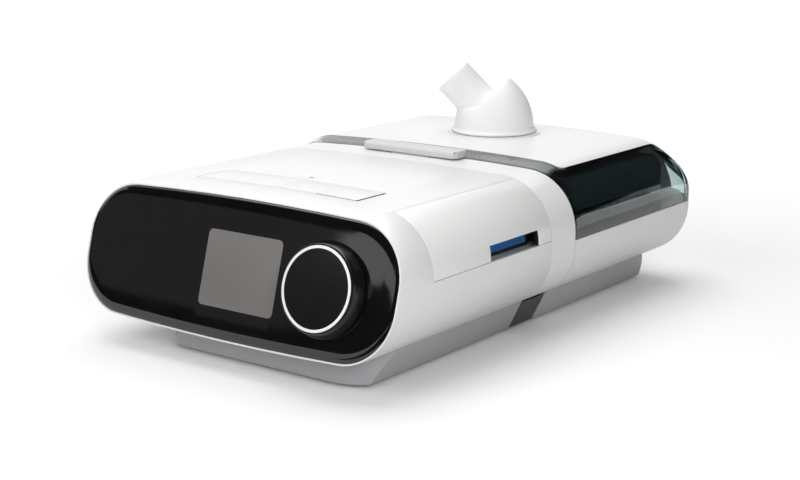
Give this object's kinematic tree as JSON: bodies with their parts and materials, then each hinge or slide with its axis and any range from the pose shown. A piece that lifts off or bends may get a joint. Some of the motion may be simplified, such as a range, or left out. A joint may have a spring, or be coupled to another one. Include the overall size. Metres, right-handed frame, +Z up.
{
  "type": "bilevel pap machine",
  "caption": "Bedside breathing device with a leaning front panel, dial, side door and docked heated humidifier with hinged lid and swivel hose elbow.",
  "frame": {"origin": "centre of the bounding box in plan, on the table plane under the feet", "axes": "+X to the right as seen from the front, +Y to the back, +Z up"},
  "size_m": [0.193, 0.297, 0.1233],
  "materials": {
    "white_plastic": "satin moulded white",
    "grey_plastic": "fine matte grain",
    "black_gloss": "polished black",
    "ring_white": "satin white",
    "display_window": "smooth grey",
    "dark_plastic": "fine matte grain",
    "circuit_board": "solder mask",
    "steel": "plain",
    "heater_metal": "milled",
    "soft_rubber": "matte",
    "filter_felt": "blue felt",
    "foam": "open-cell foam",
    "wheel_plastic": "natural",
    "tinted_clear": "tinted clear moulding",
    "clear_plastic": "clear moulding",
    "latch_plastic": "satin light grey",
    "elbow_plastic": "satin moulded white"
  },
  "bodies": {
    "root": {"main_housing": "white_plastic", "rear_cover": "white_plastic", "humidifier_base": "white_plastic", "base_tray": "grey_plastic", "humidifier_tray": "grey_plastic", "side_bay": "grey_plastic", "front_panel": "black_gloss", "screen_lens": "display_window", "lcd_module": "dark_plastic", "light_sensor_lens": "dark_plastic", "filter_frame": "dark_plastic", "inlet_duct": "dark_plastic", "blower_base": "dark_plastic", "blower_cover": "dark_plastic", "dry_box": "dark_plastic", "tank_lid": "dark_plastic", "power_inlet": "dark_plastic", "display_board": "circuit_board", "button_board": "circuit_board", "button_switches": "circuit_board", "main_board": "circuit_board", "display_screws": "steel", "encoder_body": "steel", "button_board_screws": "steel", "door_pins": "steel", "sd_reader": "steel", "blower_motor": "steel", "unit_screws": "steel", "heater_springs": "steel", "lid_pins": "steel", "humidifier_screws": "steel", "heater_bracket": "heater_metal", "tank_plate": "heater_metal", "blower_mounts": "soft_rubber", "outlet_duct": "soft_rubber", "unit_feet": "soft_rubber", "dock_seal": "soft_rubber", "tank_seal": "soft_rubber", "lid_seal": "soft_rubber", "humidifier_feet": "soft_rubber", "pollen_filter": "filter_felt", "muffler_foam": "foam", "water_tub": "clear_plastic"},
    "dial_press": {"dial_plunger": "steel"},
    "dial": {"dial_knob": "black_gloss", "dial_ring": "ring_white"},
    "ramp": {"ramp_button": "white_plastic"},
    "therapy": {"therapy_button": "white_plastic"},
    "door": {"side_door": "white_plastic"},
    "card": {"sd_card": "dark_plastic"},
    "lid": {"lid_cover": "white_plastic", "lid_window": "tinted_clear", "outlet_seal": "soft_rubber", "latch_pins": "steel"},
    "latch": {"lid_latch": "latch_plastic"},
    "elbow": {"elbow": "elbow_plastic", "elbow_clip": "dark_plastic"},
    "heater": {"heater_plate": "heater_metal"},
    "wheel": {"blower_wheel": "wheel_plastic"},
    "release": {"release_button": "dark_plastic"}
  },
  "joints": [
    {"name": "dial_push", "type": "slide", "parent": "root", "child": "dial_press", "axis": [0, 0.9613, -0.2756], "range_m": [0, 0.0005], "stiffness_N_per_m": 3000, "springref_m": -0.0004},
    {"name": "dial_turn", "type": "hinge", "parent": "dial_press", "child": "dial", "pos_m": [0.058, -0.13431, 0.04623], "axis": [0, -0.9613, 0.2756], "continuous": true},
    {"name": "ramp_push", "type": "slide", "parent": "root", "child": "ramp", "axis": [0, 0, -1], "range_m": [0, 0.0005], "stiffness_N_per_m": 2000, "springref_m": -0.0004},
    {"name": "therapy_push", "type": "slide", "parent": "root", "child": "therapy", "axis": [0, 0, -1], "range_m": [0, 0.0005], "stiffness_N_per_m": 2000, "springref_m": -0.0004},
    {"name": "door_swing", "type": "hinge", "parent": "root", "child": "door", "pos_m": [0.0756, -0.05868, 0.07515], "axis": [0, -1, 0], "range_deg": [0, 65]},
    {"name": "card_slide", "type": "slide", "parent": "root", "child": "card", "axis": [1, 0, 0], "range_m": [-0.001, 0.0025]},
    {"name": "lid_swing", "type": "hinge", "parent": "root", "child": "lid", "pos_m": [0, 0.14514, 0.0466], "axis": [-1, 0, 0], "range_deg": [0, 85]},
    {"name": "latch_lift", "type": "hinge", "parent": "lid", "child": "latch", "pos_m": [0, 0.01534, 0.084], "axis": [-1, 0, 0], "range_deg": [0, 20], "stiffness_Nm_per_rad": 0.05, "springref_deg": -17.19},
    {"name": "elbow_swivel", "type": "hinge", "parent": "lid", "child": "elbow", "pos_m": [0.0025, 0.08104, 0.0846], "axis": [0, 0, 1], "continuous": true},
    {"name": "heater_float", "type": "slide", "parent": "root", "child": "heater", "axis": [0, 0, 1], "range_m": [-0.001, 0], "stiffness_N_per_m": 3000, "springref_m": 0.001, "deforming": ["heater_springs"]},
    {"name": "wheel_spin", "type": "hinge", "parent": "root", "child": "wheel", "pos_m": [-0.03, -0.05616, 0.027], "axis": [0, 0, 1], "continuous": true},
    {"name": "release_push", "type": "slide", "parent": "root", "child": "release", "axis": [-1, 0, 0], "range_m": [0, 0.0015], "stiffness_N_per_m": 1500, "springref_m": -0.0008}
  ]
}
